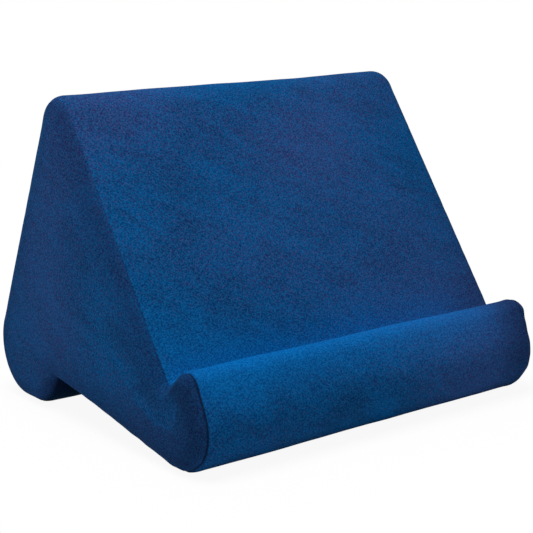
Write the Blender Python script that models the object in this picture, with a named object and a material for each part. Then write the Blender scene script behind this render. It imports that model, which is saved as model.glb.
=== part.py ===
"""Cushion stand: a foam wedge with two rolls in a sewn velour cover.

Frame: +X runs along the width, the sloping face and its lip look towards -Y,
+Z is up. The origin is the middle of the footprint, on the surface it stands on.

The side profile is a belt drawn tight round a few circles. A circle inside the
body makes a rounded corner or a roll, and a circle outside it makes a hollow
corner. Making every inside circle smaller and every outside circle larger by
the same amount moves the whole outline inwards by that amount, so the cover,
the foam and the rounded ends all come from one set of circles.
"""
import math

import bmesh
import bpy
import numpy as np

MM = 0.001

# Overall size
BODY_WIDTH = 280 * MM
BODY_DEPTH = 233 * MM
BODY_HEIGHT = 205 * MM

# Ends: how far from each side the profile starts to turn into it, and how much it
# shrinks by then. The lip and the groove shrink less, so they end full, and the
# top edge shrinks more
END_ROUNDING = 13.5 * MM
LIP_END_ROUNDING = 6 * MM
GROOVE_END_ROUNDING = 7.5 * MM
TOP_END_ROUNDING = 17.5 * MM
END_STEPS = 5

# The two rolls it stands on, and how far their own weight presses each one flat
REAR_ROLL_RADIUS = 37.5 * MM
FRONT_ROLL_RADIUS = 29.2 * MM
PRESSED_FLAT = 0.5 * MM

# Lip on top of the front roll
LIP_RADIUS = 12 * MM
LIP_HEIGHT = 61.7 * MM
LIP_SETBACK = 23.2 * MM

# Top edge, where the sloping face turns into the back
TOP_RADIUS = 18.3 * MM
TOP_SETBACK = 77.5 * MM

# Groove between the sloping face and the lip
GROOVE_RADIUS = 3 * MM
GROOVE_HEIGHT = 53.8 * MM
GROOVE_TO_LIP = 14 * MM

# Notch underneath, between the base and the rear roll
NOTCH_RADIUS = 2.5 * MM
NOTCH_HEIGHT = 19 * MM
# How far back the middle of the notch lies under the rear roll
NOTCH_UNDER_ROLL = 2 * MM

# Cover and foam
COVER_THICKNESS = 1.8 * MM
FOAM_CLEARANCE = 0.3 * MM
PANEL_GAP = 0.3 * MM
SEAM_ANGLE = 28.0

# Fineness of round stretches, in degrees for each flat
ARC_STEP_ANGLE = 8.0
# Smallest radius that a rounded corner shrinks to before it slides inwards
SHARPEST = 1 * MM
# How far a cutter reaches past what it cuts
CUTTER_MARGIN = 30 * MM

COVER_COLOUR = (0.012, 0.065, 0.19, 1.0)
FOAM_COLOUR = (0.78, 0.74, 0.62, 1.0)


def profile_circles():
    """Circles of the side profile in belt order.

    Each is y, z, radius, +1 inside or -1 outside, and how much it shrinks at the ends.
    """
    front, back = -BODY_DEPTH / 2, BODY_DEPTH / 2
    front_y = front + FRONT_ROLL_RADIUS
    rear_y = back - REAR_ROLL_RADIUS
    lip_y = front + LIP_SETBACK
    lip_z = LIP_HEIGHT - LIP_RADIUS
    groove_y = lip_y + GROOVE_TO_LIP
    notch_y = rear_y - REAR_ROLL_RADIUS + NOTCH_UNDER_ROLL
    return [
        (front_y, FRONT_ROLL_RADIUS - PRESSED_FLAT, FRONT_ROLL_RADIUS, 1, END_ROUNDING),
        (notch_y, NOTCH_HEIGHT - NOTCH_RADIUS, NOTCH_RADIUS, -1, END_ROUNDING),
        (rear_y, REAR_ROLL_RADIUS - PRESSED_FLAT, REAR_ROLL_RADIUS, 1, END_ROUNDING),
        (back - TOP_SETBACK, BODY_HEIGHT - TOP_RADIUS, TOP_RADIUS, 1, TOP_END_ROUNDING),
        (groove_y, GROOVE_HEIGHT + GROOVE_RADIUS, GROOVE_RADIUS, -1, GROOVE_END_ROUNDING),
        (lip_y, lip_z, LIP_RADIUS, 1, LIP_END_ROUNDING),
    ]


NOTCH_INDEX = 1
GROOVE_INDEX = 4


def belt_angles(centres, radii):
    """Angle of the outward normal on each straight run, from circle i to circle i + 1.

    radii are signed. The normal n of a run touches both circles, so
    n . (next centre - centre) = radius - next radius.
    """
    step = np.roll(centres, -1, axis=0) - centres
    length = np.hypot(step[:, 0], step[:, 1])
    heading = np.arctan2(step[:, 1], step[:, 0])
    ratio = np.clip((radii - np.roll(radii, -1)) / length, -1, 1)
    return heading - np.arccos(ratio)


def sweeps(leaving, sides):
    """Turn of the belt on each circle: to the left on inside ones, else to the right."""
    turn = sides * (leaving - np.roll(leaving, 1))
    return sides * ((turn + math.pi / 2) % (2 * math.pi) - math.pi / 2)


def profile(depth, turned):
    """Closed outline of the body as rows of y, z, moved inwards by depth.

    turned runs from 0, the full section, to 1, the section at the side, which is
    smaller by the end rounding. The groove widens towards the back there, by as much
    as keeps the sloping face straight. A rounded corner that is smaller than the
    inset keeps its smallest radius and slides inwards along its bisector, as an
    offset corner does. What would reach lower than the surface it stands on is
    pressed flat.
    """
    circles = np.array(profile_circles())
    centres, sizes, sides, end_roundings = circles[:, :2], circles[:, 2], circles[:, 3], circles[:, 4]
    inset = depth + (end_roundings - depth) * turned
    leaving = belt_angles(centres, sizes * sides)
    turns = sweeps(leaving, sides)
    counts = np.ceil(np.degrees(np.abs(turns)) / ARC_STEP_ANGLE).astype(int) + 1

    left = np.stack([np.cos(leaving), np.sin(leaving)], axis=1)
    arrived = np.roll(left, 1, axis=0)
    inward = -(left + arrived) / (1 + (left * arrived).sum(axis=1))[:, None]
    slide = np.where(sides > 0, np.maximum(inset - (sizes - SHARPEST), 0), 0)
    centres = centres + inward * slide[:, None]
    widening = (END_ROUNDING - GROOVE_END_ROUNDING) * turned
    centres[GROOVE_INDEX, 0] += widening / abs(arrived[GROOVE_INDEX, 0])
    radii = sizes * sides - inset + slide

    leaving = belt_angles(centres, radii)
    turns = sweeps(leaving, sides)
    rows = []
    for centre, radius, end, turn, count in zip(centres, radii, leaving, turns, counts):
        angle = end - turn * np.linspace(1, 0, count)
        rows.append(centre + radius * np.stack([np.cos(angle), np.sin(angle)], axis=1))
    outline = np.concatenate(rows)
    lowest = depth + (END_ROUNDING - depth) * turned
    outline[:, 1] = np.maximum(outline[:, 1], lowest)
    return outline


def end_stations(depth):
    """Sections of a body at that depth, left to right: x, and how far it has turned."""
    radius = END_ROUNDING - depth
    shoulder = BODY_WIDTH / 2 - END_ROUNDING
    angles = np.linspace(0, math.pi / 2, END_STEPS + 1)
    right = [(shoulder + radius * math.sin(a), 1 - math.cos(a)) for a in angles]
    return [(-x, turned) for x, turned in reversed(right)] + right


def body_mesh(name, depth):
    """The rounded body at that depth as a loft, closed by its two flat sides.

    Every strip of the loft is split along the same diagonal, so that two bodies of
    different depth stay parallel where a strip is twisted.
    """
    stations = end_stations(depth)
    rings = [profile(depth, turned) for _, turned in stations]
    count = len(rings[0])
    vertices = [(x, y, z) for (x, _), ring in zip(stations, rings) for y, z in ring]
    faces = [tuple(range(count - 1, -1, -1))]
    for row in range(len(rings) - 1):
        for i in range(count):
            j = (i + 1) % count
            a, b = row * count, (row + 1) * count
            faces.append((a + i, a + j, b + j))
            faces.append((a + i, b + j, b + i))
    last = (len(rings) - 1) * count
    faces.append(tuple(range(last, last + count)))
    mesh = bpy.data.meshes.new(name)
    mesh.from_pydata(vertices, [], faces)
    return mesh


def tidy_mesh(mesh):
    """Merge coincident points and turn every face outwards."""
    work = bmesh.new()
    work.from_mesh(mesh)
    bmesh.ops.remove_doubles(work, verts=work.verts, dist=1e-6)
    bmesh.ops.recalc_face_normals(work, faces=work.faces)
    work.to_mesh(mesh)
    work.free()


def material(name, colour, roughness):
    """Plain Principled material."""
    made = bpy.data.materials.new(name)
    made.use_nodes = True
    shader = made.node_tree.nodes["Principled BSDF"]
    shader.inputs["Base Color"].default_value = colour
    shader.inputs["Roughness"].default_value = roughness
    shader.inputs["Metallic"].default_value = 0.0
    return made


def collection(name):
    """New collection under the scene."""
    made = bpy.data.collections.new(name)
    bpy.context.scene.collection.children.link(made)
    return made


def add_part(name, mesh, group, finish):
    """Visible part with its material."""
    part = bpy.data.objects.new(name, mesh)
    mesh.materials.append(finish)
    group.objects.link(part)
    return part


def as_cutter(cutter, group):
    """Hide a cutting shape from renders and keep it in its own collection."""
    cutter.hide_render = True
    cutter.display_type = "WIRE"
    group.objects.link(cutter)
    return cutter


def prism_cutter(name, corners, half_width, group):
    """Cutter with the outline corners (y, z), running half_width to each side of x = 0."""
    curve = bpy.data.curves.new(name, "CURVE")
    curve.dimensions = "2D"
    curve.fill_mode = "BOTH"
    curve.extrude = half_width
    spline = curve.splines.new("POLY")
    spline.points.add(len(corners) - 1)
    for point, (y, z) in zip(spline.points, corners):
        point.co = (y, z, 0, 1)
    spline.use_cyclic_u = True
    outline = bpy.data.objects.new(name + "_outline", curve)
    outline.rotation_euler = (math.pi / 2, 0, math.pi / 2)
    group.objects.link(outline)
    bpy.context.view_layer.update()
    evaluated = outline.evaluated_get(bpy.context.evaluated_depsgraph_get())
    mesh = bpy.data.meshes.new_from_object(evaluated)
    tidy_mesh(mesh)
    cutter = bpy.data.objects.new(name, mesh)
    cutter.matrix_world = outline.matrix_world
    bpy.data.objects.remove(outline)
    return as_cutter(cutter, group)


def end_cutter(name, side, group):
    """Box that holds everything beyond the seam at one end; side is -1 or +1."""
    inner = seam_x() + PANEL_GAP / 2
    outer = BODY_WIDTH / 2 + CUTTER_MARGIN
    size = (outer - inner, BODY_DEPTH + 2 * CUTTER_MARGIN, BODY_HEIGHT + 2 * CUTTER_MARGIN)
    work = bmesh.new()
    bmesh.ops.create_cube(work, size=1.0)
    bmesh.ops.scale(work, vec=size, verts=work.verts)
    mesh = bpy.data.meshes.new(name)
    work.to_mesh(mesh)
    work.free()
    cutter = bpy.data.objects.new(name, mesh)
    cutter.location = (side * (inner + outer) / 2, 0, BODY_HEIGHT / 2)
    return as_cutter(cutter, group)


def seam_x():
    """Distance of each end seam from the middle: part of the way round the end."""
    shoulder = BODY_WIDTH / 2 - END_ROUNDING
    return shoulder + END_ROUNDING * math.sin(math.radians(SEAM_ANGLE))


def cut_lines():
    """Deepest points of the groove and the notch, where the two long panels meet."""
    circles = profile_circles()
    groove_y, groove_z, groove_radius = circles[GROOVE_INDEX][:3]
    notch_y, notch_z, notch_radius = circles[NOTCH_INDEX][:3]
    return (groove_y, groove_z - groove_radius), (notch_y, notch_z + notch_radius)


def panel_regions():
    """Outlines of the space of the main panel and of the base panel, PANEL_GAP apart."""
    (groove_y, groove_z), (notch_y, notch_z) = cut_lines()
    far_y = BODY_DEPTH / 2 + CUTTER_MARGIN
    low, high = -CUTTER_MARGIN, BODY_HEIGHT + CUTTER_MARGIN
    deep = COVER_THICKNESS + 2 * FOAM_CLEARANCE
    half = PANEL_GAP / 2
    main = [
        (groove_y + half, high), (groove_y + half, groove_z - deep),
        (notch_y + half, notch_z + deep), (notch_y + half, low),
        (far_y, low), (far_y, high),
    ]
    base = [
        (groove_y - half, high), (groove_y - half, groove_z - deep),
        (notch_y - half, notch_z + deep), (notch_y - half, low),
        (-far_y, low), (-far_y, high),
    ]
    return main, base


def cover_panel(name, shell_cutter, region_cutter, group, finish):
    """One panel of the cover: the body less the foam's space, kept inside its region."""
    mesh = body_mesh(name, 0)
    tidy_mesh(mesh)
    panel = add_part(name, mesh, group, finish)
    hollow = panel.modifiers.new("Hollow", "BOOLEAN")
    hollow.operation = "DIFFERENCE"
    hollow.object = shell_cutter
    region = panel.modifiers.new("Region", "BOOLEAN")
    region.operation = "INTERSECT"
    region.object = region_cutter
    return panel


def foam_core(group, finish):
    """The block of foam that fills the cover."""
    mesh = body_mesh("foam_core", COVER_THICKNESS + FOAM_CLEARANCE)
    tidy_mesh(mesh)
    return add_part("foam_core", mesh, group, finish)


def clear_scene():
    for old in list(bpy.data.objects):
        bpy.data.objects.remove(old)


def main():
    clear_scene()
    parts = collection("cushion_stand")
    cutters = collection("cutters")
    velour = material("blue_velour", COVER_COLOUR, 0.9)
    foam = material("foam", FOAM_COLOUR, 0.95)

    space = body_mesh("foam_space", COVER_THICKNESS)
    tidy_mesh(space)
    shell_cutter = as_cutter(bpy.data.objects.new("foam_space", space), cutters)
    half_width = seam_x() - PANEL_GAP / 2
    main_outline, base_outline = panel_regions()
    main_space = prism_cutter("main_panel_space", main_outline, half_width, cutters)
    base_space = prism_cutter("base_panel_space", base_outline, half_width, cutters)

    foam_core(parts, foam)
    cover_panel("main_panel", shell_cutter, main_space, parts, velour)
    cover_panel("base_panel", shell_cutter, base_space, parts, velour)
    for name, side in (("left_side_panel", -1), ("right_side_panel", 1)):
        end_space = end_cutter(name + "_space", side, cutters)
        cover_panel(name, shell_cutter, end_space, parts, velour)


main()
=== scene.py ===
"""Cushion stand: a foam wedge with two rolls in a sewn velour cover, dressed for rendering.

Frame: +X runs along the width, the sloping face and its lip look towards -Y, +Z is up.
All lengths are in metres. The whole cover is one surface of two parameters. The first
runs round the side profile, a belt drawn tight round a few circles. The second runs
across the width and turns the profile into the flat of each side. The four panels
are cut out of that surface along their seams.
"""

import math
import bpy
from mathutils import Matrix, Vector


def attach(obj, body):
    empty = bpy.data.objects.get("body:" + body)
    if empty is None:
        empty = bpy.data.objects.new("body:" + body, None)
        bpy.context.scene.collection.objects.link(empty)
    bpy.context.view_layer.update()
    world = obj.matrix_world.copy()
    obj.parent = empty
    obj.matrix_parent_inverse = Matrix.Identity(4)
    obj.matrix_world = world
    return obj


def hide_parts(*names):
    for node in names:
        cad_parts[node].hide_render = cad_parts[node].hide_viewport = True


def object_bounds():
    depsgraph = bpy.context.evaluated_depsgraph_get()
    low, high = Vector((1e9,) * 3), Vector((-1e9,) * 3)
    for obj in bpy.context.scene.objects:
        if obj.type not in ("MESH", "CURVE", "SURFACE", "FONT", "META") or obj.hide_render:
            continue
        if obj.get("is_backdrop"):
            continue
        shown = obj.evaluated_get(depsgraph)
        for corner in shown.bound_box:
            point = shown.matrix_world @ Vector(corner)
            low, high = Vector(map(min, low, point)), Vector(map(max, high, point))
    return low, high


bl_info = {
    "name": "Cushion stand",
    "version": (1, 0, 0),
    "blender": (4, 5, 0),
    "location": "3D View > Sidebar > Cushion stand",
    "description": "Makes a foam cushion stand in a sewn velour cover, and a studio round it",
    "category": "Object",
}

import bpy
import numpy as np
from bpy.props import FloatProperty, FloatVectorProperty, IntProperty, PointerProperty
from mathutils import Vector
from mathutils.geometry import delaunay_2d_cdt

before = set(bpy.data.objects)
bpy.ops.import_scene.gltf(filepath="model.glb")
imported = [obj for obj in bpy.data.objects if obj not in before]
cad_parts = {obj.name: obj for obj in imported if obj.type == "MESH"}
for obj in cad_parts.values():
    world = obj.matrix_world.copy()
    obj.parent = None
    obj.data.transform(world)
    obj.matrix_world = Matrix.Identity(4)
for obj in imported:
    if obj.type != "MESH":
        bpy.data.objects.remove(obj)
CAD_LOW, CAD_HIGH = (np.array(corner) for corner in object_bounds())

# Rows of profile_circles
NOTCH, GROOVE, LIP = 1, 4, 5
# How hard the end seams pull by each circle of the profile: the front roll's ends are
# tight and full, and along the face and the back the seam hardly shows
END_SEAM_PULL = (1.0, 0.4, 0.4, 0.15, 0.4, 1.0)
SIDE_NAMES = {-1: "left", 1: "right"}


def number(name, description, default, least=0.0, **kind):
    """A number that a user may change, no smaller than the least."""
    return FloatProperty(name=name, description=description, default=default, min=least, **kind)


def metres(name, description, default, least=0.0):
    """A length that a user may change."""
    return number(name, description, default, least, unit="LENGTH")


def tint(name, description, default):
    """A colour that a user may change."""
    return FloatVectorProperty(
        name=name, description=description, default=default, min=0, max=1, subtype="COLOR")


class CushionShape(bpy.types.PropertyGroup):
    """Sizes of the profile and of its rounded ends."""

    rear_roll_radius: metres("Rear roll", "Radius of the roll at the back", 0.0375, 0.02)
    front_roll_radius: metres("Front roll", "Radius of the roll at the front", 0.0292, 0.01)
    pressed_flat: metres("Pressed flat", "How far each roll is pressed flat where it stands", 0.0005)
    lip_radius: metres("Lip radius", "Radius of the lip on top of the front roll", 0.01, 0.002)
    lip_height: metres("Lip height", "Height of the top of the lip", 0.0617, 0.03)
    lip_setback: metres("Lip setback", "Middle of the lip behind the front of the roll", 0.0195, 0.01)
    top_radius: metres("Top radius", "Radius of the edge between face and back", 0.0183, 0.005)
    top_setback: metres("Top setback", "Middle of the top edge in front of the back", 0.0775, 0.03)
    groove_radius: metres("Groove radius", "Radius of the bottom of the groove", 0.003, 0.001)
    groove_height: metres("Groove height", "Height of the bottom of the groove", 0.0505, 0.02)
    groove_to_lip: metres(
        "Groove to lip", "Middle of the groove behind the middle of the lip", 0.0177, 0.008)
    notch_radius: metres("Notch radius", "Radius of the top of the notch underneath", 0.0025, 0.001)
    notch_height: metres("Notch height", "Height of the top of the notch", 0.025, 0.005)
    notch_setback: metres("Notch setback", "Middle of the notch in front of the back", 0.0742, 0.04)
    end_rounding: metres(
        "End rounding", "Where the profile starts to turn into each side", 0.0135, 0.004)
    rear_end_rounding: metres("Rear roll's end", "How much the rear roll shrinks by the side", 0.0095)
    lip_end_rounding: metres("Lip end", "How much the lip shrinks by the side", 0.0054)
    groove_end_rounding: metres("Groove end", "How much the groove deepens by the side", 0.01)
    notch_end_rounding: metres("Notch end", "How much the notch deepens by the side", 0.0035)
    top_end_rounding: metres("Top end", "How much the top edge shrinks by the side", 0.0175)
    seam_angle: number(
        "Seam place", "How far round the end each side panel's seam lies",
        math.radians(28), max=1.2, subtype="ANGLE")


class CushionCloth(bpy.types.PropertyGroup):
    """Sizes of the sewing and of the relief of the cloth."""

    mesh_step: metres("Mesh step", "Widest spacing of the cloth's mesh", 0.0017, 0.001)
    seam_step: metres("Seam step", "Spacing of the mesh beside a seam", 0.0003, 0.0001)
    seam_depth: metres("Seam depth", "How deep the thread pulls a seam in", 0.0008)
    seam_width: metres("Seam width", "Half the width of a seam's valley", 0.0007, 0.0002)
    welt_height: metres(
        "Welt height", "How much the seam allowance lifts the cloth beside a seam", 0.0004)
    welt_width: metres("Welt width", "Width of the seam allowance under the cloth", 0.0045, 0.001)
    pucker_height: metres("Pucker height", "Height of the puckers along a seam", 0.00018)
    pucker_length: metres("Pucker spacing", "Spacing of the puckers along a seam", 0.012, 0.002)
    unevenness: metres("Unevenness", "Height of the foam's gentle unevenness", 0.0003)
    foam_inset: metres("Foam inset", "How deep the foam lies under the face of the cover", 0.0042)
    foam_step: metres("Foam step", "Widest spacing of the foam's mesh", 0.006, 0.002)
    hem: metres("Seam allowance", "How far each panel's edge is turned in", 0.0022, 0.0005)
    crown: metres("Crown", "The most that the filling pushes a panel out", 0.0028)
    pressure: number("Filling pressure", "Pressure of the filling on the cloth", 4.0)
    sim_step: metres("Simulation step", "Spacing of the mesh that is simulated", 0.007, 0.003)
    sim_frames: IntProperty(
        name="Simulation frames", description="Frames of the cloth simulation",
        default=20, min=1)
    stitch: metres("Stitch length", "Length of one stitch of the seam thread", 0.003, 0.001)
    thread: metres("Thread radius", "Radius of the seam thread", 0.00035, 0.0001)


class CushionColours(bpy.types.PropertyGroup):
    """Colours of the cloth, the thread and the foam."""

    velour: tint("Velour", "Main colour of the velour", (0.001, 0.060, 0.230))
    velour_light: tint("Raised pile", "Velour where the pile stands up", (0.001, 0.098, 0.330))
    # Painted highlight: the colour painted along the top of the front roll
    velour_highlight: tint(
        "Brushed up pile", "Velour on top of the front roll, brushed open", (0.001, 0.195, 0.680))
    # Also, at 0.15 of its strength, the colour of the shade painted in the seams, the notch and along
    # the floor
    velour_dark: tint("Pressed pile", "Velour where the pile lies flat", (0.006, 0.036, 0.135))
    # Painted shade: the colour of the shade painted beside the seams
    velour_seam_shade: tint("Flat pile", "Velour that is stretched flat beside a seam", (0.007, 0.014, 0.060))
    velour_worn: tint(
        "Violet cast", "Velour where the light catches its backing", (0.060, 0.044, 0.200))
    velour_shade: tint("Pile shade", "Shade between the tufts of the pile", (0.0, 0.0, 0.02))
    velour_tips: tint("Pile tips", "Tips of the pile", (0.010, 0.200, 0.420))
    thread: tint("Thread", "Colour of the seam thread", (0.002, 0.008, 0.030))
    foam: tint("Foam", "Colour of the foam", (0.78, 0.74, 0.62))


class CushionStage(bpy.types.PropertyGroup):
    """The studio: camera, lamp and floor."""

    azimuth: number(
        "Azimuth", "Direction the camera looks from, from straight ahead",
        math.radians(-38.4), -math.pi, subtype="ANGLE")
    elevation: number(
        "Elevation", "Angle of the camera above the horizon",
        math.radians(13.1), -math.pi / 2, subtype="ANGLE")
    distance: metres("Distance", "Distance of the camera from what it looks at", 0.9564, 0.1)
    look_at: FloatVectorProperty(
        name="Look at", description="Point in the middle of the picture",
        default=(0.0011, 0.0020, 0.0854), subtype="TRANSLATION")
    lens: number("Lens", "Focal length on a sensor 36 mm wide, in millimetres", 97.0, 10)
    key: number("Main lamp", "Power of the large lamp high on the left", 23.0)
    key_place: FloatVectorProperty(
        name="Lamp place", description="Where the main lamp hangs",
        default=(-0.42, -0.13, 1.54), subtype="TRANSLATION")
    key_size: metres("Lamp size", "Width of the main lamp", 0.9, 0.01)
    ambient: number("Ambient", "Strength of the light from all round", 0.14)
    floor_colour: tint("Floor", "Colour of the floor as it is seen", (0.95, 0.95, 0.95))
    floor_bounce: tint(
        "Floor bounce", "Colour of the light that the floor throws back", (0.82, 0.82, 0.82))


def profile_circles(shape):
    """Circles of the side profile in belt order, one row each.

    A row is y, z, radius, +1 inside the body or -1 outside it, and how much the
    circle shrinks by the side.
    """
    front, back, top = CAD_LOW[1], CAD_HIGH[1], CAD_HIGH[2]
    front_roll, rear_roll = shape.front_roll_radius, shape.rear_roll_radius
    lip_y, pressed = front + shape.lip_setback, shape.pressed_flat
    return np.array([
        (front + front_roll, front_roll - pressed, front_roll, 1, shape.end_rounding),
        (back - shape.notch_setback, shape.notch_height - shape.notch_radius,
         shape.notch_radius, -1, shape.notch_end_rounding),
        (back - rear_roll, rear_roll - pressed, rear_roll, 1, shape.rear_end_rounding),
        (back - shape.top_setback, top - shape.top_radius,
         shape.top_radius, 1, shape.top_end_rounding),
        (lip_y + shape.groove_to_lip, shape.groove_height + shape.groove_radius,
         shape.groove_radius, -1, shape.groove_end_rounding),
        (lip_y, shape.lip_height - shape.lip_radius, shape.lip_radius, 1, shape.lip_end_rounding),
    ])


def direction(angle):
    """Unit vectors (y, z) at these angles."""
    return np.stack([np.cos(angle), np.sin(angle)], axis=-1)


def belt(centres, radii, sides):
    """Normal's angle on the run that leaves each circle, the belt's turn on it, and the run.

    radii are signed. The normal n of a run touches both circles, so
    n . (next centre - centre) = radius - next radius. The belt turns left on inside
    circles and right on outside ones. A run is the step to the next centre, plus the
    growth of the radius along the normal.
    """
    step = np.roll(centres, -1, axis=0) - centres
    growth = np.roll(radii, -1) - radii
    ratio = np.clip(-growth / np.hypot(step[:, 0], step[:, 1]), -1, 1)
    leaving = np.arctan2(step[:, 1], step[:, 0]) - np.arccos(ratio)
    turn = sides * (leaving - np.roll(leaving, 1))
    turn = sides * ((turn + math.pi / 2) % (2 * math.pi) - math.pi / 2)
    return leaving, turn, step + growth[:, None] * direction(leaving)


def turned_circles(shape, turned):
    """Centres, signed radii and belt of the profile's circles, part of the way into a side.

    turned runs from 0, the full section, to 1, the flat of the side. Each circle
    shrinks by its own amount. The groove also widens towards the back, by as much as
    keeps the face straight, and a corner that would vanish keeps a radius of 1 mm
    and slides inwards along its bisector.
    """
    circles = profile_circles(shape)
    centres, sizes, sides = circles[:, :2], circles[:, 2], circles[:, 3]
    inset = circles[:, 4] * turned
    smallest = 0.001
    left = direction(belt(centres, sizes * sides, sides)[0])
    arrived = np.roll(left, 1, axis=0)
    inward = -(left + arrived) / (1 + (left * arrived).sum(axis=1))[:, None]
    slide = np.where(sides > 0, np.maximum(inset - (sizes - smallest), 0), 0)
    centres = centres + inward * slide[:, None]
    widening = (shape.end_rounding - shape.groove_end_rounding) * turned
    centres[GROOVE, 0] += widening / abs(arrived[GROOVE, 0])
    radii = sizes * sides - inset + slide
    return centres, radii, *belt(centres, radii, sides)


def profile_layout(shape, step):
    """Where every section has its points, so that sections join up point by point.

    Rows are circle, share of its arc, and share of the run after it. The spacing is
    at most step, and at most 8 degrees on an arc. The deepest points of the groove
    and of the notch, where the long panels meet, are points of the layout.
    Returned with their two numbers.
    """
    widest_turn = math.radians(8)
    _, radii, leaving, turns, runs = turned_circles(shape, 0.0)
    facing = {NOTCH: -math.pi / 2, GROOVE: math.pi / 2}
    rows, deepest, count = [], {}, 0
    for index, turn in enumerate(turns):
        stops = [0.0, 1.0]
        if index in facing:
            past = (leaving[index] - facing[index] + math.pi) % (2 * math.pi) - math.pi
            stops.insert(1, 1 - past / turn)
        for start, stop in zip(stops[:-1], stops[1:]):
            swept = abs(turn) * (stop - start)
            pieces = math.ceil(max(swept * abs(radii[index]) / step, swept / widest_turn))
            shares = np.linspace(start, stop, pieces, endpoint=False)
            if start > 0:
                deepest[index] = count
            rows.append(np.stack([np.full(pieces, index), shares, np.zeros(pieces)], axis=1))
            count += pieces
        pieces = math.ceil(np.hypot(*runs[index]) / step)
        shares = np.linspace(0, 1, pieces, endpoint=False)
        rows.append(np.stack([np.full(pieces, index), np.ones(pieces), shares], axis=1))
        count += pieces
    return np.concatenate(rows), deepest[NOTCH], deepest[GROOVE]


def section(shape, layout, turned):
    """Points (y, z) of the profile, part of the way into a side.

    On an arc, a point is the circle's centre plus its signed radius times the
    normal. On a run, it moves on from the end of the arc to the start of the next.
    What would reach lower than the surface it stands on is pressed flat.
    """
    centres, radii, leaving, turns, runs = turned_circles(shape, turned)
    here = layout[:, 0].astype(int)
    angle = leaving[here] - turns[here] * (1 - layout[:, 1])
    points = centres[here] + radii[here, None] * direction(angle) + runs[here] * layout[:, 2:]
    points[:, 1] = np.maximum(points[:, 1], shape.end_rounding * turned)
    return points


def graded(length, first, widest):
    """Places from 0 to length, whose spacing grows by a quarter from first to widest."""
    growth, most_steps = 1.25, 64
    steps = np.minimum(first * growth ** np.arange(most_steps), widest)
    more = np.full(math.ceil(length / widest), widest)
    places = np.concatenate([[0], np.cumsum(np.concatenate([steps, more]))])
    last = int(np.searchsorted(places, length))
    return places[:last + 1] * (length / places[last])


def across_places(shape, first, widest):
    """Places across the cover, from the flat of one side to that of the other.

    They are arc lengths from the middle plane, close together beside each seam.
    Returned with the distance of the seams from the middle plane.
    """
    shoulder = CAD_HIGH[0] - shape.end_rounding
    seam = shoulder + shape.end_rounding * shape.seam_angle
    edge = shoulder + shape.end_rounding * math.pi / 2
    inner = seam - graded(seam, first, widest)
    outer = seam + graded(edge - seam, first, widest)[1:]
    half = np.concatenate([inner[::-1], outer])
    return np.concatenate([-half[:0:-1], half]), seam


def lengths_round(points):
    """Distance along a looped line of points to each of them, and all the way round."""
    steps = np.linalg.norm(np.roll(points, -1, axis=0) - points, axis=1)
    return np.concatenate([[0], np.cumsum(steps)[:-1]]), float(steps.sum())


def surface_normals(points):
    """Outward unit normals of a grid that is open across and loops round the profile."""
    round_it = np.roll(points, -1, axis=1) - np.roll(points, 1, axis=1)
    across = np.gradient(points, axis=0)
    normals = np.cross(round_it, across)
    return normals / np.linalg.norm(normals, axis=2, keepdims=True)


class CoverGrid:
    """The whole cover as a grid of points: places across by points round the profile.

    The place a turns the profile into the side: past the shoulder, the angle is the
    arc length over the end rounding, x follows its sine and the section its cosine.
    """

    def __init__(self, shape, first, widest):
        self.layout, self.notch, self.groove = profile_layout(shape, widest)
        self.across, self.seam = across_places(shape, first, widest)
        shoulder = CAD_HIGH[0] - shape.end_rounding
        reach = np.abs(self.across)
        angle = np.maximum(reach - shoulder, 0) / shape.end_rounding
        x = np.sign(self.across) * (np.minimum(reach, shoulder) + shape.end_rounding * np.sin(angle))
        sections = np.stack([section(shape, self.layout, turned) for turned in 1 - np.cos(angle)])
        wide = np.broadcast_to(x[:, None, None], sections.shape[:2] + (1,))
        self.points = np.concatenate([wide, sections], axis=2)
        self.normals = surface_normals(self.points)
        self.normals[0] = (-1, 0, 0)
        self.normals[-1] = (1, 0, 0)
        self.along, self.girth = lengths_round(sections[len(sections) // 2])
        here = self.layout[:, 0].astype(int)
        pulls = np.array(END_SEAM_PULL)
        self.lip = int(np.flatnonzero(here == LIP)[0])
        self.pull = pulls[here] + (np.roll(pulls, -1) - pulls)[here] * self.layout[:, 2]
        self.seam_columns = [int(np.abs(self.across + side * self.seam).argmin()) for side in (1, -1)]

    def gap_from(self, column):
        """Distance round the profile from one column to every column."""
        gap = np.abs(self.along - self.along[column])
        return np.minimum(gap, self.girth - gap)


def waves(points, length, seed):
    """Smooth random field of about unit size: a sum of plane waves of about that length."""
    rng = np.random.default_rng(seed)
    count = 24
    heading = rng.normal(size=(count, 3))
    heading /= np.linalg.norm(heading, axis=1, keepdims=True)
    rate = 2 * math.pi / (length * rng.uniform(0.7, 1.5, count))
    phase = rng.uniform(0, 2 * math.pi, count)
    return np.sin(points @ (heading * rate[:, None]).T + phase).sum(axis=-1) * math.sqrt(2 / count)


def bell(distance, width):
    """1 at distance 0, falling off smoothly within about width."""
    return np.exp(-((distance / width) ** 2))


def seam_relief(cloth, distance, puckers, pull):
    """Height of the cloth at that distance from a seam.

    The thread pulls the seam into a narrow valley, the seam allowance lifts a low
    welt beside it, and the puckers fade out away from it. All three grow with pull.
    """
    valley = -cloth.seam_depth * bell(distance, cloth.seam_width)
    welt = cloth.welt_height * bell(distance - cloth.welt_width * 0.6, cloth.welt_width * 0.5)
    fade = np.exp(-distance / (cloth.pucker_length * 0.7)) * (1 - bell(distance, cloth.seam_width))
    return pull * (valley + welt + cloth.pucker_height * fade * puckers)


def uneven_foam(cloth, points):
    """Gentle unevenness of the foam: long waves with some shorter ones."""
    return cloth.unevenness * (waves(points, 0.09, 5) * 0.75 + waves(points, 0.035, 6) * 0.25)


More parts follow.
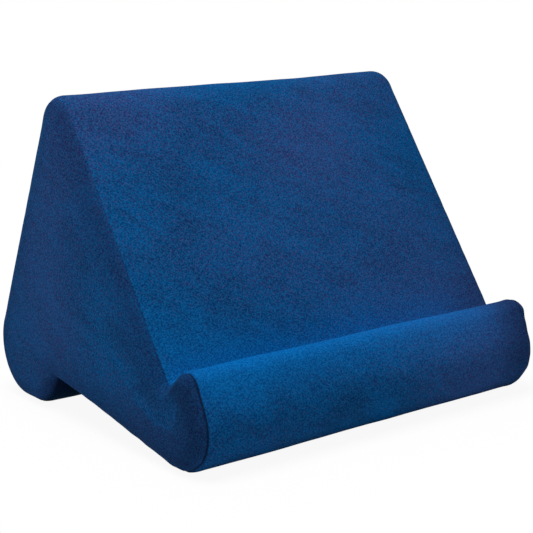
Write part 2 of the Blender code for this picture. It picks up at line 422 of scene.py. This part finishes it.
def grid_relief(cloth, grid):
    """Height of the cloth over the whole grid: end seams and the foam's unevenness."""
    distance = np.abs(np.abs(grid.across) - grid.seam)[:, None]
    sides = np.sign(grid.across)[:, None]
    puckers = [waves(grid.points[column], cloth.pucker_length, 11 + column)
               for column in grid.seam_columns]
    puckers = np.where(sides < 0, puckers[0][None], puckers[1][None])
    relief = seam_relief(cloth, distance, puckers, grid.pull)
    return relief + uneven_foam(cloth, grid.points) * (1 - bell(distance, cloth.pucker_length))


def cross_seam_relief(cloth, grid):
    """Height of the cloth beside the seams along the groove and the notch."""
    relief = 0
    for place in (grid.groove, grid.notch):
        distance = grid.gap_from(place)[None]
        puckers = waves(grid.points[:, place], cloth.pucker_length, 23 + place)[:, None]
        relief = relief + seam_relief(cloth, distance, puckers, 1.0)
    return relief


def inside(outline, points):
    """True for the points (y, z) that a looped outline holds, by counting crossings."""
    y, z = points[:, :1], points[:, 1:]
    start, end = outline.T, np.roll(outline, -1, axis=0).T
    straddles = (start[1] > z) != (end[1] > z)
    rise = np.where(end[1] == start[1], 1, end[1] - start[1])
    crossing = y < (end[0] - start[0]) * (z - start[1]) / rise + start[0]
    return (straddles & crossing).sum(axis=1) % 2 == 1


def in_plane(x, flat):
    """Points (y, z) of a flat, placed at that x."""
    return np.concatenate([np.full((len(flat), 1), x), flat], axis=1)


def square_gaps(points, others):
    """Squared distance from each point to each of the others."""
    return ((points[:, None] - others[None]) ** 2).sum(axis=2)


def flat_filling(outline, spacing):
    """Points inside an outline on a triangular lattice, and triangles that fill it.

    The triangles number the outline's own points first.
    """
    low, high = outline.min(axis=0), outline.max(axis=0)
    rise = spacing * math.sqrt(3) / 2
    rows = np.arange(low[1], high[1], rise)
    columns = np.arange(low[0], high[0], spacing)
    y, z = np.meshgrid(columns, rows)
    y = y + (np.arange(len(rows)) % 2)[:, None] * spacing / 2
    lattice = np.stack([y.ravel(), z.ravel()], axis=1)
    lattice = lattice[inside(outline, lattice)]
    lattice = lattice[square_gaps(lattice, outline).min(axis=1) > (spacing * 0.6) ** 2]
    count = len(outline)
    points = np.concatenate([outline, lattice])
    loop = [(i, (i + 1) % count) for i in range(count)]
    inside_edges = 1
    made = delaunay_2d_cdt(points.tolist(), loop, [], inside_edges, spacing * 1e-4)
    origin = np.array([sources[0] for sources in made[3]])
    return lattice, origin[np.array(made[2])]


def grid_faces(rows, columns):
    """Quads of a grid of rows by columns, numbered row by row."""
    corner = np.arange(rows - 1)[:, None] * columns + np.arange(columns - 1)[None]
    return np.stack([corner, corner + 1, corner + columns + 1, corner + columns], axis=2).reshape(-1, 4)


def ring_faces(rows, columns):
    """Quads of a grid that loops round along its columns."""
    start = np.arange(columns)
    after = (start + 1) % columns
    row = np.arange(rows - 1)[:, None] * columns
    quads = np.stack([row + start, row + after, row + columns + after, row + columns + start], axis=2)
    return quads.reshape(-1, 4)


def closed_form(grid, spacing, inset=0.0):
    """Points and faces of the whole cover as one watertight form, set in along its normals.

    The grid's points come first, and after them the lattices that fill the left and
    the right flat. Returned with the lattice of one flat.
    """
    width, count = grid.points.shape[:2]
    lattice, triangles = flat_filling(grid.points[0, :, 1:], spacing)
    side = CAD_HIGH[0] - inset
    body = (grid.points - grid.normals * inset).reshape(-1, 3)
    points = np.concatenate([body, in_plane(-side, lattice), in_plane(side, lattice)])
    inner = triangles >= count
    left = np.where(inner, triangles - count + len(body), triangles)
    right = left + np.where(inner, len(lattice), (width - 1) * count)
    return points, [ring_faces(width, count), left[:, ::-1], right], lattice


def add_piece(name, points, faces, finish, uv=None, **fields):
    """Smooth piece from points and faces, with a UV map in metres and numbers on its points."""
    mesh = bpy.data.meshes.new(name)
    mesh.from_pydata(points.tolist(), [], [row for block in faces for row in block.tolist()])
    mesh.shade_smooth()
    corners = np.empty(len(mesh.loops), dtype=np.int32)
    mesh.loops.foreach_get("vertex_index", corners)
    if uv is not None:
        layer = mesh.uv_layers.new(name="cloth")
        layer.data.foreach_set("uv", uv[corners].astype(np.float32).ravel())
    for field, values in fields.items():
        attribute = mesh.attributes.new(field, "FLOAT", "POINT")
        attribute.data.foreach_set("value", values.astype(np.float32))
    mesh.materials.append(finish)
    piece = bpy.data.objects.new(name, mesh)
    bpy.context.scene.collection.objects.link(piece)
    return piece


class Value:
    """A shader socket that Python sums can be written with; each adds its Math node."""

    def __init__(self, finish, socket):
        self.finish = finish
        self.socket = socket

    def math(self, operation, first, second):
        node = self.finish.node("ShaderNodeMath", {"operation": operation}, {0: first, 1: second})
        return Value(self.finish, node.outputs[0])

    def __add__(self, other):
        return self.math("ADD", self, other)

    __radd__ = __add__

    def __sub__(self, other):
        return self.math("SUBTRACT", self, other)

    def __rsub__(self, other):
        return self.math("SUBTRACT", other, self)

    def __mul__(self, other):
        return self.math("MULTIPLY", self, other)

    __rmul__ = __mul__


class Finish:
    """A material, or the world, whose nodes all come from one method."""

    def __init__(self, name, kind="materials"):
        self.made = getattr(bpy.data, kind).new(name)
        self.made.use_nodes = True
        self.tree = self.made.node_tree
        self.tree.nodes.clear()

    def node(self, kind, settings, sockets):
        """Node of that type; its settings are made first, then its sockets fed."""
        made = self.tree.nodes.new(kind)
        for name, value in settings.items():
            setattr(made, name, value)
        for key, value in sockets.items():
            if isinstance(value, Value):
                value = value.socket
            if isinstance(value, bpy.types.NodeSocket):
                self.tree.links.new(value, made.inputs[key])
            else:
                made.inputs[key].default_value = value
        return made

    def value(self, node, output=0):
        """One output of a node, to write sums with."""
        return Value(self, node.outputs[output])

    def place(self):
        """The piece's own coordinates in metres."""
        return self.node("ShaderNodeTexCoord", {}, {}).outputs["Object"]

    def cloth(self):
        """The piece's UV map, in metres along its cloth."""
        return self.node("ShaderNodeUVMap", {"uv_map": "cloth"}, {}).outputs[0]

    def mapped(self, vector, rotation, scale=(1, 1, 1), kind="POINT"):
        """The vector turned and scaled, or with kind TEXTURE, the pattern that reads it."""
        sockets = {"Vector": vector, "Rotation": rotation, "Scale": scale}
        return self.node("ShaderNodeMapping", {"vector_type": kind}, sockets).outputs[0]

    def noise(self, where, scale, detail=2.0, roughness=0.5, distortion=0.0):
        """Noise from 0 to 1 at that scale."""
        sockets = {"Vector": where, "Scale": scale, "Detail": detail,
                   "Roughness": roughness, "Distortion": distortion}
        return self.value(self.node("ShaderNodeTexNoise", {}, sockets))

    def stretch(self, value, low, high, easing="LINEAR"):
        """value's range low to high, stretched to 0 to 1."""
        sockets = {"Value": value, "From Min": low, "From Max": high}
        return self.value(self.node("ShaderNodeMapRange", {"interpolation_type": easing}, sockets))

    def attribute(self, name):
        """A number that is kept on the piece's points."""
        return self.value(self.node("ShaderNodeAttribute", {"attribute_name": name}, {}), "Fac")

    def mix(self, share, first, second):
        """Colour between first and second, which are the node's sockets 6 and 7."""
        node = self.node("ShaderNodeMix", {"data_type": "RGBA"}, {0: share, 6: first, 7: second})
        return node.outputs[2]

    def bump(self, height, distance, strength=1.0):
        """Normal from a height."""
        sockets = {"Height": height, "Distance": distance, "Strength": strength}
        return self.node("ShaderNodeBump", {}, sockets).outputs[0]

    def vector_math(self, operation, *vectors):
        """Vector Math node of that operation on these vectors."""
        return self.node("ShaderNodeVectorMath", {"operation": operation}, dict(enumerate(vectors)))

    def surface(self, sockets):
        """Principled surface with these values and links in its sockets."""
        shader = self.node("ShaderNodeBsdfPrincipled", {}, sockets)
        self.node("ShaderNodeOutputMaterial", {}, {"Surface": shader.outputs[0]})
        return self.made


def opaque(colour, strength=1.0):
    """The colour with full alpha, its parts scaled by the strength."""
    return (*(part * strength for part in colour), 1.0)


def between(share, first, second):
    """The opaque colour that lies that share of the way from first to second."""
    return opaque([low + (high - low) * share for low, high in zip(first, second)])


def velour_finish(colours):
    """Short-pile velour.

    The pile lies this way or that in brushed streaks and broad patches, which show
    lighter or darker. Its fine grain is shaded between the tufts and lit on their
    tips. Numbers on the points say where it turns violet, where a highlight is painted
    along the top of the front roll, where shade is painted beside a seam, and where
    shade is painted dark in the seams, in the notch and along the floor.
    """
    finish = Finish("velour_pile")
    place = finish.place()
    slant, stroke = math.radians(-30), (0.045, 0.014, 1)
    patch_scale, hue_scale, pile_scale, pile_height = 16, 800, 1000, 0.0004
    violet_share, highlight_share, shade_share, tip_share = 0.8, 0.62, 0.42, 0.25
    brushed = finish.mapped(finish.cloth(), (0, 0, slant), stroke, "TEXTURE")
    streaks = finish.noise(brushed, 1.0, 3.0, 0.6, 0.5)
    patches = finish.noise(place, patch_scale, 3.0, 0.55, 0.4)
    # Noise is weak in planes such as the flat sides, so the grain is turned away from them
    turned = finish.mapped(place, (0.5, 0.8, 0.3))
    hue = finish.noise(turned, hue_scale, 0.0)
    pile = finish.noise(turned, pile_scale, 0.0)

    lie = finish.stretch(streaks * 0.55 + patches * 0.45, 0.41, 0.59)
    lying = between(0.55, colours.velour, colours.velour_dark)
    standing = between(0.6, colours.velour, colours.velour_light)
    colour = finish.mix(lie, lying, standing)
    violet = finish.stretch(finish.attribute("drift") + hue * 3.2, 1.2, 3.0)
    colour = finish.mix(violet * violet_share, colour, opaque(colours.velour_worn))
    # A highlight painted along the top of the front roll
    painted_highlight = finish.attribute("painted_highlight") * highlight_share
    colour = finish.mix(painted_highlight, colour, opaque(colours.velour_highlight))
    # Painted shade beside the seams, where the grain is also softened
    pressed = finish.attribute("pressed")
    colour = finish.mix(pressed, colour, opaque(colours.velour_seam_shade))

    grain = finish.stretch(pile, 0.28, 0.72)
    depth = 1 - 0.6 * pressed
    shaded = finish.mix(shade_share * depth, colour, opaque(colours.velour_shade))
    lit = finish.mix(tip_share * depth, colour, opaque(colours.velour_tips))
    colour = finish.mix(grain, shaded, lit)
    # Painted shade, dark in the seams, in the notch and along the floor
    colour = finish.mix(finish.attribute("painted_shade"), colour, opaque(colours.velour_dark, 0.15))
    return finish.surface({
        "Base Color": colour, "Roughness": 0.8 + 0.15 * grain,
        "Normal": finish.bump(pile, pile_height, 0.6),
        "Sheen Weight": 0.08, "Sheen Roughness": 0.4, "Sheen Tint": (0.0, 0.42, 0.9, 1.0),
        "Specular IOR Level": 0.02})


def thread_finish(colours):
    """Twisted sewing thread: slanting stripes of light and shade along its length."""
    finish = Finish("seam_thread")
    turned = finish.mapped(finish.cloth(), (0, 0, 0.6))
    stripes = finish.value(finish.node("ShaderNodeTexWave", {}, {"Vector": turned, "Scale": 420}), "Fac")
    colour = finish.mix(stripes, opaque(colours.thread), opaque(colours.thread, 2.2))
    return finish.surface({
        "Base Color": colour, "Roughness": 0.7 + 0.1 * stripes, "Normal": finish.bump(stripes, 0.0001),
        "Specular IOR Level": 0.1})


def foam_finish(colours):
    """Soft open-cell foam: a fine network of pores over a slightly uneven cream."""
    finish = Finish("foam_cells")
    place = finish.place()
    cells = finish.value(finish.node("ShaderNodeTexVoronoi", {}, {"Vector": place, "Scale": 700}))
    pores = finish.stretch(cells, 0.15, 0.55, "SMOOTHSTEP")
    colour = finish.mix(finish.noise(place, 18, 3.0), opaque(colours.foam), opaque(colours.foam, 0.9))
    colour = finish.mix(pores * 0.45, colour, opaque(colours.foam, 0.6))
    return finish.surface({
        "Base Color": colour, "Roughness": 0.9 + 0.1 * pores, "Normal": finish.bump(1 - pores, 0.0006)})


def made_material(name, make, colours):
    """The material of that name, made once."""
    return bpy.data.materials.get(name) or make(colours)


def stand_settings(context):
    """The stand's shape, cloth and colours."""
    scene = context.scene
    return scene.cushion_shape, scene.cushion_cloth, scene.cushion_colours


def rest_on_floor(points):
    """What the relief pushes below the surface it stands on is pressed back up."""
    points[..., 2] = np.maximum(points[..., 2], 0)
    return points


def pile_fields(grid, points, nearest_column):
    """Where the pile turns violet, and where light and shade are painted on it, at points
    whose nearest places round the profile are given.

    drift runs from teal to violet, in broad waves, and along the front roll from its
    left end to its right. painted_highlight is a highlight painted along the top of the
    front roll, and fades at its right end. deep is 1 in the notch, where shade is
    painted, and fades beside it.
    """
    highlight_width, front_width = 0.031, 0.07
    highlight_end, highlight_fade = 0.09, 0.035
    deep_reach, deep_fade = 0.0464, 0.016
    from_lip, from_notch = (grid.gap_from(place)[nearest_column] for place in (grid.lip, grid.notch))
    faded = np.clip((points[:, 0] - highlight_end) / highlight_fade, 0, 1)
    # A highlight painted along the top of the front roll, fading at its right end
    painted_highlight = bell(from_lip, highlight_width) * (1 - 0.9 * faded)
    front = bell(from_lip, front_width)
    across = np.clip(points[:, 0] / CAD_HIGH[0] * 1.7, -0.9, 1.1) - 0.15
    drift = 0.05 + 0.35 * waves(points, 0.11, 31) * (1 - front) + front * across
    # The notch, where shade is painted
    deep = np.clip((deep_reach - from_notch) / deep_fade, 0, 1)
    return drift, painted_highlight, deep


def long_panel(grid, relief, first, last, hem):
    """Points, faces, UV and pile of a long panel, from one cross seam to the other.

    The panel is the grid between its seams, pushed out along its normals by the
    relief. Its four edges are turned in, straight down by the hem. Shade is painted
    dark in the seams, in the notch and as a contact shadow on the floor, and fainter
    beside the seams, over a wider strip towards the right end.
    """
    count = len(grid.along)
    picked = np.arange(first, last + 1 if last > first else last + 1 + count) % count
    columns = np.arange(grid.seam_columns[0], grid.seam_columns[1] + 1)
    chosen = np.ix_(columns, picked)
    normals = grid.normals[chosen]
    points = rest_on_floor(grid.points[chosen] + normals * relief[chosen][..., None])
    across = np.broadcast_to(grid.across[columns][:, None], points.shape[:2])
    run = (grid.along[picked] - grid.along[first]) % grid.girth
    along = np.broadcast_to(run[None], points.shape[:2])
    apart = np.minimum(grid.seam - np.abs(across), np.minimum(along, run[-1] - along))

    rim = ((1, 1), (1, 1), (0, 0))
    depth = np.pad(np.zeros(points.shape[:2] + (1,)), rim, constant_values=hem)
    points, normals = (np.pad(field, rim, mode="edge") for field in (points, normals))
    rows, width = points.shape[:2]
    points = (points - normals * depth).reshape(-1, 3)
    across, along, apart = (np.pad(field, 1, mode="edge").ravel() for field in (across, along, apart))
    picked = np.tile(np.pad(picked, 1, mode="edge"), rows)
    pull = grid.pull[picked]
    drift, painted_highlight, deep = pile_fields(grid, points, picked)
    right_start, right_fade = 0.06, 0.05
    seam_line, floor_line, left_strip, right_strip = 0.0004, 0.0022, 0.003, 0.026
    # Painted shade: dark in the seam valleys, in the notch and as a contact shadow along the floor
    in_seam = 0.85 * pull ** 2 * bell(apart, seam_line)
    on_floor = 0.8 * bell(points[:, 2], floor_line)
    # Painted shade beside the seams, over a strip that widens towards the right end
    right = np.clip((points[:, 0] - right_start) / right_fade, 0, 1)
    left_seam_shade = 0.2 * (1 - right) * bell(apart, left_strip)
    right_end_shade = 0.7 * right * bell(apart, right_strip)
    pile = {"painted_shade": np.maximum(np.maximum(in_seam, on_floor), 0.95 * deep),
            "pressed": pull * (left_seam_shade + right_end_shade), "drift": drift, "painted_highlight": painted_highlight}
    return points, [grid_faces(rows, width)], np.stack([across, -along], axis=1), pile


def joined_height(height, ring, ring_height, lattice):
    """Height of a flat's lattice, brought smoothly to the height of the ring round it.

    The ring's difference from the flat's own height spreads inwards. Each point
    takes its mean by inverse fourth power of the distance, and it fades within reach.
    """
    blur, reach = 0.002, 0.014
    gaps = square_gaps(lattice, ring)
    weights = 1 / (gaps + blur ** 2) ** 2
    spread = weights @ (ring_height - height(ring)) / weights.sum(axis=1)
    return height(lattice) + spread * np.exp(-gaps.min(axis=1) / reach ** 2)


def side_panel(grid, relief, side, filling, crown, cloth):
    """Points, faces, UV and pile of a side panel; side is -1 or +1.

    Its rim is the grid from the seam to the flat of the side, with the edge turned in
    by the hem. The flat is filled with a triangular lattice at the side's x, pushed
    out by its crown and the foam's unevenness. Shade is painted dark in the seam and
    in a thin band by the notch, and fainter over a strip beside the seam that widens
    where the seam pulls hard.
    """
    lattice, triangles = filling
    seam_column = grid.seam_columns[0 if side < 0 else 1]
    columns = np.arange(seam_column, -1 if side < 0 else len(grid.across), side)
    normals = grid.normals[columns]
    rim = grid.points[columns] + normals * relief[columns][..., None]
    rim = np.concatenate([rim[:1] - normals[:1] * cloth.hem, rim])
    rows, count = rim.shape[:2]

    def height(places):
        """Height of the flat's cloth at these places (y, z)."""
        return crown(side, places) + uneven_foam(cloth, in_plane(side * CAD_HIGH[0], places))

    flat = in_plane(side * CAD_HIGH[0], lattice)
    last = columns[-1]
    flat[:, 0] += side * joined_height(height, grid.points[last, :, 1:], relief[last], lattice)
    points = rest_on_floor(np.concatenate([rim.reshape(-1, 3), flat]))
    faces = [ring_faces(rows, count), triangles + (rows - 1) * count]
    if side < 0:
        faces = [block[:, ::-1] for block in faces]

    outline = grid.points[seam_column]
    gaps = square_gaps(points[:, 1:], outline[:, 1:])
    nearest_column = gaps.argmin(axis=1)
    apart = np.hypot(np.sqrt(gaps.min(axis=1)), np.abs(points[:, 0] - outline[0, 0]))
    pull = grid.pull[nearest_column]
    drift, _, deep = pile_fields(grid, points, nearest_column)
    seam_line, notch_line, strip_edge = 0.0007, 0.0035, 0.004
    narrowest, widening = 0.013, 0.020
    # Painted shade, dark in the seam and in a thin band by the notch
    in_seam = 0.85 * pull ** 2 * bell(apart, seam_line)
    # Painted shade over a strip beside the seam that widens where the seam pulls hard
    strip = bell(apart, narrowest + widening * pull ** 2) - 0.3 * bell(apart, strip_edge)
    pile = {"painted_shade": np.maximum(in_seam, deep * bell(apart, notch_line)),
            "pressed": (0.68 + 0.22 * pull) * strip,
            "drift": 0.6 * drift + 0.25, "painted_highlight": np.zeros(len(points))}
    return points, faces, points[:, 1:] * (side, 1), pile


def seam_thread(grid, column, cloth):
    """Points and faces of the thread in one end seam.

    A tube follows the seam just under the surface. Its radius swells and narrows
    once for every stitch, because the thread dives into the cloth between them.
    """
    normals = grid.normals[column]
    length, whole = lengths_round(grid.points[column])
    path = grid.points[column] - normals * (cloth.seam_depth - cloth.thread * 0.6)
    ahead = np.roll(path, -1, axis=0) - np.roll(path, 1, axis=0)
    ahead /= np.linalg.norm(ahead, axis=1, keepdims=True)
    beside = np.cross(ahead, normals)
    stitches = round(whole / cloth.stitch)
    swell = 0.45 + 0.55 * np.abs(np.sin(math.pi * length / whole * stitches)) ** 0.5
    around = np.linspace(0, 2 * math.pi, 8, endpoint=False)
    offset = np.cos(around)[:, None, None] * beside + np.sin(around)[:, None, None] * normals
    points = path + offset * (cloth.thread * swell)[None, :, None]
    # The ring after the last is the first again
    faces = ring_faces(len(around) + 1, len(path)) % (len(around) * len(path))
    uv = np.stack([np.tile(length, len(around)), np.repeat(around * cloth.thread, len(path))], axis=1)
    return points.reshape(-1, 3), [faces], uv


def swollen(form, cloth, sewn):
    """Where the filling's pressure pushes the points of a watertight form, its seams held.

    Blender's cloth steps through its frames with pressure and without gravity, and
    the form goes again afterwards.
    """
    group = form.vertex_groups.new(name="sewn")
    group.add(sewn.tolist(), 1.0, "REPLACE")
    scene = bpy.context.scene
    modifier = form.modifiers.new("Filling", "CLOTH")
    settings = modifier.settings
    settings.vertex_group_mass = "sewn"
    settings.use_pressure = True
    settings.uniform_pressure_force = cloth.pressure
    settings.effector_weights.gravity = 0
    modifier.collision_settings.use_collision = False
    modifier.point_cache.frame_start = 1
    modifier.point_cache.frame_end = cloth.sim_frames
    for number in range(1, cloth.sim_frames + 1):
        scene.frame_set(number)
    graph = bpy.context.evaluated_depsgraph_get()
    moved = np.empty(len(form.data.vertices) * 3, dtype=np.float32)
    form.evaluated_get(graph).data.vertices.foreach_get("co", moved)
    scene.frame_set(1)
    return moved.reshape(-1, 3).astype(float)


def filled_crown(shape, cloth, grid):
    """How far the filling pushes the cover out, over the grid and over the flats.

    A coarse watertight form of the cover is simulated with its seams held. Its moves
    along the normals are scaled so that the largest is the crown, and read back
    over the fine grid along both parameters, and over the flats by nearness.
    """
    coarse = CoverGrid(shape, cloth.sim_step / 2, cloth.sim_step)
    width, count = coarse.points.shape[:2]
    points, faces, lattice = closed_form(coarse, cloth.sim_step)
    form = add_piece("cover_form", points, faces, None)
    numbers = np.arange(width * count).reshape(width, count)
    sewn = np.concatenate([numbers[coarse.seam_columns].ravel(),
                           numbers[:, coarse.groove], numbers[:, coarse.notch]])
    moves = swollen(form, cloth, np.unique(sewn)) - points
    bpy.data.objects.remove(form)

    outwards = np.repeat([(-1.0, 0, 0), (1.0, 0, 0)], len(lattice), axis=0)
    normals = np.concatenate([coarse.normals.reshape(-1, 3), outwards])
    pushed = (moves * normals).sum(axis=1)
    pushed *= cloth.crown / pushed.max()
    deepest_hollow = cloth.crown * 0.15
    pushed = np.maximum(pushed, -deepest_hollow)
    table = pushed[:width * count].reshape(width, count)
    left, right = np.split(pushed[width * count:], 2)
    by_column = np.stack([np.interp(grid.across, coarse.across, row) for row in table.T])
    over_grid = np.stack([np.interp(grid.along, coarse.along, row, period=coarse.girth)
                          for row in by_column.T])

    def over_flat(side, places):
        """Crown of one flat: the mean of the simulated points near by."""
        blur = cloth.sim_step * 0.6
        known = np.concatenate([coarse.points[0, :, 1:], lattice])
        heights = np.concatenate([table[0], left] if side < 0 else [table[-1], right])
        weights = np.exp(-square_gaps(places, known) / (2 * blur ** 2))
        return weights @ heights / weights.sum(axis=1)

    return over_grid, over_flat


def mark(piece, slot, *nodes):
    """Ties a finished piece to the frame: its body and the solids it stands for, which it hides. slot is
    not used.
    """
    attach(piece, "root")
    if nodes:
        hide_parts(*nodes)
    return piece


COVER = {}


def cover(context):
    """Grid, relief and crown of the cover, worked out once."""
    if not COVER:
        shape, cloth, _ = stand_settings(context)
        grid = CoverGrid(shape, cloth.seam_step, cloth.mesh_step)
        over_grid, over_flat = 0, lambda side, places: 0
        over_grid, over_flat = filled_crown(shape, cloth, grid)
        COVER.update(grid=grid, crown=over_flat, relief=grid_relief(cloth, grid) + over_grid)
    return COVER["grid"], COVER["relief"], COVER["crown"]


class CUSHION_OT_foam(bpy.types.Operator):
    """Make the block of foam that fills the cover"""

    bl_idname = "cushion.foam"
    bl_label = "Foam"

    def execute(self, context):
        shape, cloth, colours = stand_settings(context)
        grid = CoverGrid(shape, cloth.foam_step * 2 / 3, cloth.foam_step)
        points, faces, _ = closed_form(grid, cloth.foam_step, cloth.foam_inset)
        finish = made_material("foam_cells", foam_finish, colours)
        piece = add_piece("foam_block", points, faces, finish)
        mark(piece, "foam", "foam_core")
        return {"FINISHED"}


class CUSHION_OT_long_panels(bpy.types.Operator):
    """Make the two long panels that run round the profile"""

    bl_idname = "cushion.long_panels"
    bl_label = "Long panels"

    def execute(self, context):
        _, cloth, colours = stand_settings(context)
        grid, relief, _ = cover(context)
        relief = relief + cross_seam_relief(cloth, grid)
        finish = made_material("velour_pile", velour_finish, colours)
        for name, first, last in (("main_panel", grid.notch, grid.groove),
                                  ("base_panel", grid.groove, grid.notch)):
            points, faces, uv, pile = long_panel(grid, relief, first, last, cloth.hem)
            piece = add_piece("velour_" + name, points, faces, finish, uv, **pile)
            mark(piece, "blue_velour", name)
        return {"FINISHED"}


class CUSHION_OT_side_panels(bpy.types.Operator):
    """Make the two side panels"""

    bl_idname = "cushion.side_panels"
    bl_label = "Side panels"

    def execute(self, context):
        _, cloth, colours = stand_settings(context)
        grid, relief, crown = cover(context)
        finish = made_material("velour_pile", velour_finish, colours)
        filling = flat_filling(grid.points[0, :, 1:], cloth.mesh_step * 1.3)
        for side, name in SIDE_NAMES.items():
            points, faces, uv, pile = side_panel(grid, relief, side, filling, crown, cloth)
            piece = add_piece(f"velour_{name}_side_panel", points, faces, finish, uv, **pile)
            mark(piece, "blue_velour", name + "_side_panel")
        return {"FINISHED"}


class CUSHION_OT_threads(bpy.types.Operator):
    """Make the threads in the seams round both ends"""

    bl_idname = "cushion.threads"
    bl_label = "Seam threads"

    def execute(self, context):
        shape, cloth, colours = stand_settings(context)
        fine = CoverGrid(shape, cloth.seam_step * 4, cloth.stitch / 6)
        finish = made_material("seam_thread", thread_finish, colours)
        for column, name in zip(fine.seam_columns, SIDE_NAMES.values()):
            points, faces, uv = seam_thread(fine, column, cloth)
            mark(add_piece(f"{name}_seam_thread", points, faces, finish, uv), "blue_velour")
        return {"FINISHED"}


def seen_directly(finish):
    """1 for rays from the camera, from gloss or through glass, and 0 for the others."""
    path = finish.node("ShaderNodeLightPath", {}, {})
    camera, gloss, glass = (
        finish.value(path, f"Is {ray} Ray") for ray in ("Camera", "Glossy", "Transmission"))
    capped = {"operation": "ADD", "use_clamp": True}
    return finish.value(finish.node("ShaderNodeMath", capped, {0: camera + gloss, 1: glass}))


def floor_finish(stage):
    """Pale floor that keeps the object's shadow close to it and is white further away.

    The share of white grows with the distance from the object's footprint: that of
    a point outside a box, the length of what its place is beyond the box's half sizes.
    """
    finish = Finish("studio_floor")
    half = (CAD_HIGH[0], CAD_HIGH[1], 0)
    beyond = finish.vector_math("ABSOLUTE", finish.place()).outputs[0]
    beyond = finish.vector_math("SUBTRACT", beyond, half).outputs[0]
    beyond = finish.vector_math("MAXIMUM", beyond, (0, 0, 0)).outputs[0]
    far = finish.vector_math("LENGTH", beyond).outputs["Value"]
    near_white, fade_start, fade_end = 0.92, -0.02, 0.09
    further = finish.stretch(far, fade_start, fade_end, "SMOOTHSTEP")
    fade = near_white + (1 - near_white) * further
    seen = seen_directly(finish)
    tone = finish.mix(seen, opaque(stage.floor_bounce), opaque(stage.floor_colour))
    pale = finish.node("ShaderNodeBsdfDiffuse", {}, {"Color": tone})
    white = finish.node("ShaderNodeEmission", {}, {"Strength": 1.0})
    mixed = finish.node("ShaderNodeMixShader", {},
                        {0: seen * fade, 1: pale.outputs[0], 2: white.outputs[0]})
    finish.node("ShaderNodeOutputMaterial", {}, {"Surface": mixed.outputs[0]})
    return finish.made


def studio_world(stage):
    """White for whatever sees the background, and an even soft light for the object."""
    finish = Finish("studio", "worlds")
    soft = finish.node("ShaderNodeBackground", {}, {"Color": (1, 1, 1, 1), "Strength": stage.ambient})
    white = finish.node("ShaderNodeBackground", {}, {"Color": (1, 1, 1, 1), "Strength": 1.0})
    mixed = finish.node("ShaderNodeMixShader", {},
                        {0: seen_directly(finish), 1: soft.outputs[0], 2: white.outputs[0]})
    finish.node("ShaderNodeOutputWorld", {}, {"Surface": mixed.outputs[0]})
    return finish.made


def place_in_studio(name, data, place, aim):
    """Camera or lamp that stands at that place and looks at aim."""
    item = bpy.data.objects.new(name, data)
    item.location = place
    item.rotation_euler = (Vector(aim) - Vector(place)).to_track_quat("-Z", "Y").to_euler()
    bpy.context.scene.collection.objects.link(item)
    return item


class CUSHION_OT_stage(bpy.types.Operator):
    """Make the studio: camera, lamp, floor and background"""

    bl_idname = "cushion.stage"
    bl_label = "Studio"

    def execute(self, context):
        stage = context.scene.cushion_stage
        level = math.cos(stage.elevation)
        back = Vector((math.sin(stage.azimuth) * level, -math.cos(stage.azimuth) * level,
                       math.sin(stage.elevation)))
        camera = bpy.data.cameras.new("camera")
        camera.lens = stage.lens
        place = Vector(stage.look_at) + back * stage.distance
        context.scene.camera = place_in_studio("camera", camera, place, stage.look_at)
        lamp = bpy.data.lights.new("main_lamp", "AREA")
        lamp.energy = stage.key
        lamp.size = stage.key_size
        place_in_studio("main_lamp", lamp, stage.key_place, (CAD_LOW + CAD_HIGH) / 2)
        context.scene.world = studio_world(stage)
        half, drop = 6.0, 1e-4
        corners = np.array([(-half, -half, -drop), (half, -half, -drop),
                            (half, half, -drop), (-half, half, -drop)])
        floor = add_piece("studio_floor", corners, [np.array([[0, 1, 2, 3]])], floor_finish(stage))
        floor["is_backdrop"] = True
        context.scene.view_settings.view_transform = "Standard"
        return {"FINISHED"}


class CUSHION_PT_panel(bpy.types.Panel):
    """The stand's operators and settings in the 3D view's sidebar"""

    bl_idname = "CUSHION_PT_panel"
    bl_label = "Cushion stand"
    bl_space_type = "VIEW_3D"
    bl_region_type = "UI"
    bl_category = "Cushion stand"

    def draw(self, context):
        for operator in OPERATORS:
            self.layout.operator(operator.bl_idname)
        for name, group in GROUPS.items():
            box = self.layout.box()
            settings = getattr(context.scene, name)
            for key in group.__annotations__:
                box.prop(settings, key)


GROUPS = {
    "cushion_shape": CushionShape,
    "cushion_cloth": CushionCloth,
    "cushion_colours": CushionColours,
    "cushion_stage": CushionStage,
}
OPERATORS = (CUSHION_OT_stage, CUSHION_OT_foam, CUSHION_OT_long_panels,
             CUSHION_OT_side_panels, CUSHION_OT_threads)
CLASSES = (*GROUPS.values(), *OPERATORS, CUSHION_PT_panel)


def register():
    for item in CLASSES:
        bpy.utils.register_class(item)
    for name, group in GROUPS.items():
        setattr(bpy.types.Scene, name, PointerProperty(type=group))


def unregister():
    for name in GROUPS:
        delattr(bpy.types.Scene, name)
    for item in reversed(CLASSES):
        bpy.utils.unregister_class(item)


def main():
    register()
    bpy.ops.cushion.stage()
    bpy.ops.cushion.foam()
    bpy.ops.cushion.long_panels()
    bpy.ops.cushion.side_panels()
    bpy.ops.cushion.threads()


if __name__ == "__main__":
    main()
